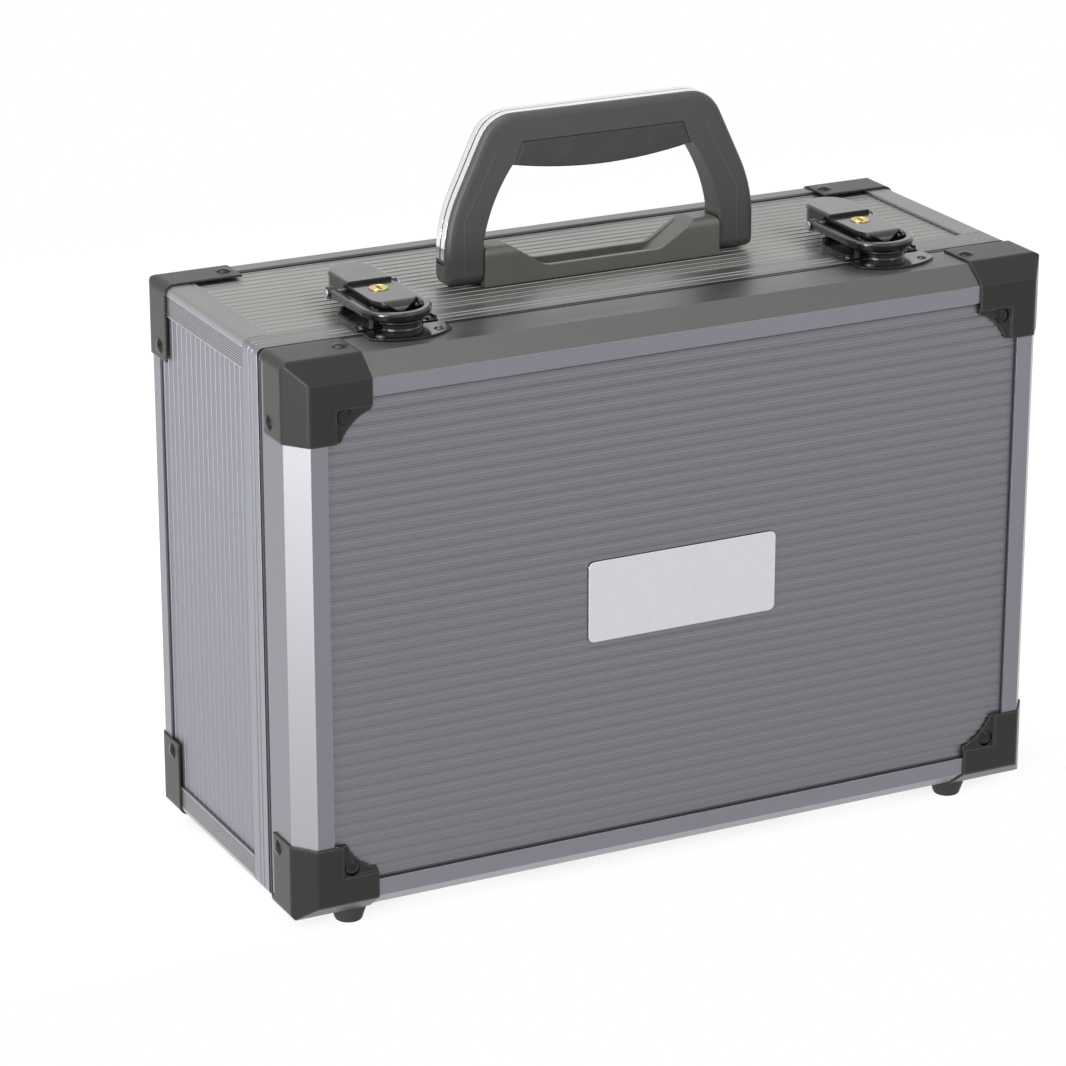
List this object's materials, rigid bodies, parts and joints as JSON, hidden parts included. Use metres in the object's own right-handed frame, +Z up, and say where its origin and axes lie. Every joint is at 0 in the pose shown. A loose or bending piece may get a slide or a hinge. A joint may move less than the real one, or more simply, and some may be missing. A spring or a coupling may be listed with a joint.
{
  "type": "hard tool case",
  "caption": "Aluminium-framed hard tool case with a hinged front lid, toggle latches with key locks, a folding carrying handle, riveted corner caps and rubber feet.",
  "frame": {"origin": "middle of the bottom, on the ground plane under the feet", "axes": "+X to the case's right as seen from the front, -Y out of the lid's front, +Z up"},
  "size_m": [0.4026, 0.17, 0.3618],
  "materials": {
    "beaded_sheet": "satin",
    "board": "matte",
    "frame_alloy": "satin",
    "cap_paint": "satin",
    "rivet_metal": "satin",
    "badge_alloy": "satin",
    "lining": "matte",
    "latch_paint": "gloss",
    "steel": "satin",
    "black_rubber": "matte",
    "handle_plastic": "satin",
    "insert_rubber": "matte",
    "bright_trim": "polished",
    "key_brass": "satin"
  },
  "bodies": {
    "case_body": {"back_sheet": "beaded_sheet", "top_sheet": "beaded_sheet", "bottom_sheet": "beaded_sheet", "left_sheet": "beaded_sheet", "right_sheet": "beaded_sheet", "body_boards": "board", "closing_frame": "frame_alloy", "rear_frame": "frame_alloy", "edge_profiles": "frame_alloy", "rear_corner_caps": "cap_paint", "rear_cap_rivets": "rivet_metal", "rim_seal": "black_rubber", "body_lining": "lining", "rear_feet": "black_rubber", "rear_foot_screws": "steel", "body_hinge_leaves": "steel", "body_hinge_rivets": "steel", "hinge_pins": "steel", "latch_base_left": "latch_paint", "latch_base_right": "latch_paint", "latch_base_rivets": "latch_paint", "lever_pins": "steel", "handle_base": "handle_plastic", "handle_backing_plate": "steel", "handle_screws": "steel", "handle_pins": "steel"},
    "lid": {"lid_sheet": "beaded_sheet", "lid_board": "board", "lid_frame": "frame_alloy", "lid_corner_caps": "cap_paint", "lid_cap_rivets": "rivet_metal", "badge_plate": "badge_alloy", "lid_lining": "lining", "strike_plate_left": "latch_paint", "strike_plate_right": "latch_paint", "strike_rivets": "latch_paint", "front_feet": "black_rubber", "front_foot_screws": "steel", "lid_hinge_leaves": "steel", "lid_hinge_rivets": "steel"},
    "handle": {"handle_grip": "handle_plastic", "grip_insert": "insert_rubber", "chrome_trim_front": "bright_trim", "chrome_trim_rear": "bright_trim"},
    "lever_left": {"latch_lever_left": "latch_paint", "thumb_pad_left": "latch_paint", "loop_pin_left": "steel"},
    "loop_left": {"latch_loop_left": "latch_paint"},
    "key_left": {"key_core_left": "key_brass"},
    "lever_right": {"latch_lever_right": "latch_paint", "thumb_pad_right": "latch_paint", "loop_pin_right": "steel"},
    "loop_right": {"latch_loop_right": "latch_paint"},
    "key_right": {"key_core_right": "key_brass"}
  },
  "joints": [
    {"name": "lid_hinge", "type": "hinge", "parent": "case_body", "child": "lid", "pos_m": [0, -0.046, 0.0072], "axis": [1, 0, 0], "range_deg": [0, 100]},
    {"name": "handle_pivot", "type": "hinge", "parent": "case_body", "child": "handle", "pos_m": [0, 0.007, 0.28805], "axis": [1, 0, 0], "range_deg": [-87, 87]},
    {"name": "latch_left", "type": "hinge", "parent": "case_body", "child": "lever_left", "pos_m": [-0.1285, -0.042, 0.2894], "axis": [1, 0, 0], "range_deg": [0, 110]},
    {"name": "loop_swing_left", "type": "hinge", "parent": "lever_left", "child": "loop_left", "pos_m": [-0.1285, -0.005, 0.2891], "axis": [1, 0, 0], "range_deg": [-110, 0]},
    {"name": "key_turn_left", "type": "hinge", "parent": "lever_left", "child": "key_left", "pos_m": [-0.1285, -0.0233, 0.2894], "axis": [0, 0, 1], "range_deg": [0, 90]},
    {"name": "latch_right", "type": "hinge", "parent": "case_body", "child": "lever_right", "pos_m": [0.1285, -0.042, 0.2894], "axis": [1, 0, 0], "range_deg": [0, 110]},
    {"name": "loop_swing_right", "type": "hinge", "parent": "lever_right", "child": "loop_right", "pos_m": [0.1285, -0.005, 0.2891], "axis": [1, 0, 0], "range_deg": [-110, 0]},
    {"name": "key_turn_right", "type": "hinge", "parent": "lever_right", "child": "key_right", "pos_m": [0.1285, -0.0233, 0.2894], "axis": [0, 0, 1], "range_deg": [0, 90]}
  ],
  "couplings": [
    {"joint": "loop_swing_left", "follows": "latch_left", "ratio": -1},
    {"joint": "loop_swing_right", "follows": "latch_right", "ratio": -1}
  ]
}
